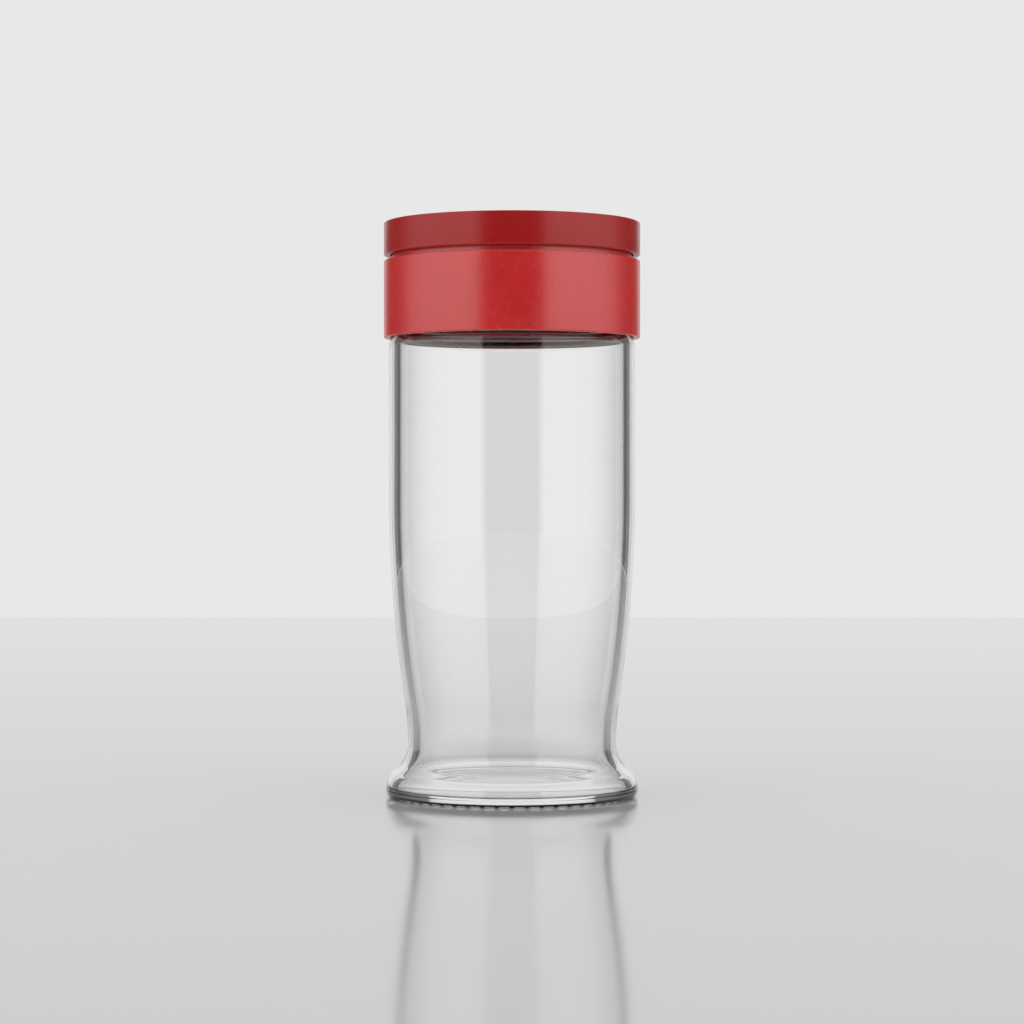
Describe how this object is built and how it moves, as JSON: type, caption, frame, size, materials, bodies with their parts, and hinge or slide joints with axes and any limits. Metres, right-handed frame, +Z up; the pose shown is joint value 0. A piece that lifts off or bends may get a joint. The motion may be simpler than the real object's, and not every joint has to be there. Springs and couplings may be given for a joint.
{
  "type": "lidded glass tumbler",
  "caption": "Clear glass drinking tumbler with a slight waist and a hollow flared foot, closed by a two-tier red plastic screw lid.",
  "frame": {"origin": "on the axis of revolution, at the height of the surface that the tumbler stands on", "axes": "+Z up along the axis of revolution; threads start at +X"},
  "size_m": [0.0712, 0.0712, 0.1592],
  "materials": {
    "clear_glass": "clear, smooth, colourless",
    "collar_red": "satin moulded plastic, red",
    "cap_red": "satin moulded plastic, darker red",
    "silicone": "matte translucent white silicone"
  },
  "bodies": {
    "glass": {"glass_body": "clear_glass"},
    "neck_seal": {"neck_gasket": "silicone"},
    "collar": {"collar": "collar_red"},
    "cap_seal": {"cap_gasket": "silicone"},
    "cap": {"cap": "cap_red"}
  },
  "joints": [
    {"name": "collar_rise", "type": "slide", "parent": "glass", "child": "neck_seal", "axis": [0, 0, 1], "range_m": [0, 0.0201]},
    {"name": "collar_turn", "type": "hinge", "parent": "neck_seal", "child": "collar", "pos_m": [0, 0, 0.14], "axis": [0, 0, 1], "range_deg": [0, 1440]},
    {"name": "cap_rise", "type": "slide", "parent": "collar", "child": "cap_seal", "axis": [0, 0, 1], "range_m": [0, 0.0097]},
    {"name": "cap_turn", "type": "hinge", "parent": "cap_seal", "child": "cap", "pos_m": [0, 0, 0.152], "axis": [0, 0, 1], "range_deg": [0, 1080]}
  ],
  "couplings": [
    {"joint": "collar_rise", "follows": "collar_turn", "m_per_rad": 0.00079577},
    {"joint": "cap_rise", "follows": "cap_turn", "m_per_rad": 0.0005093}
  ]
}
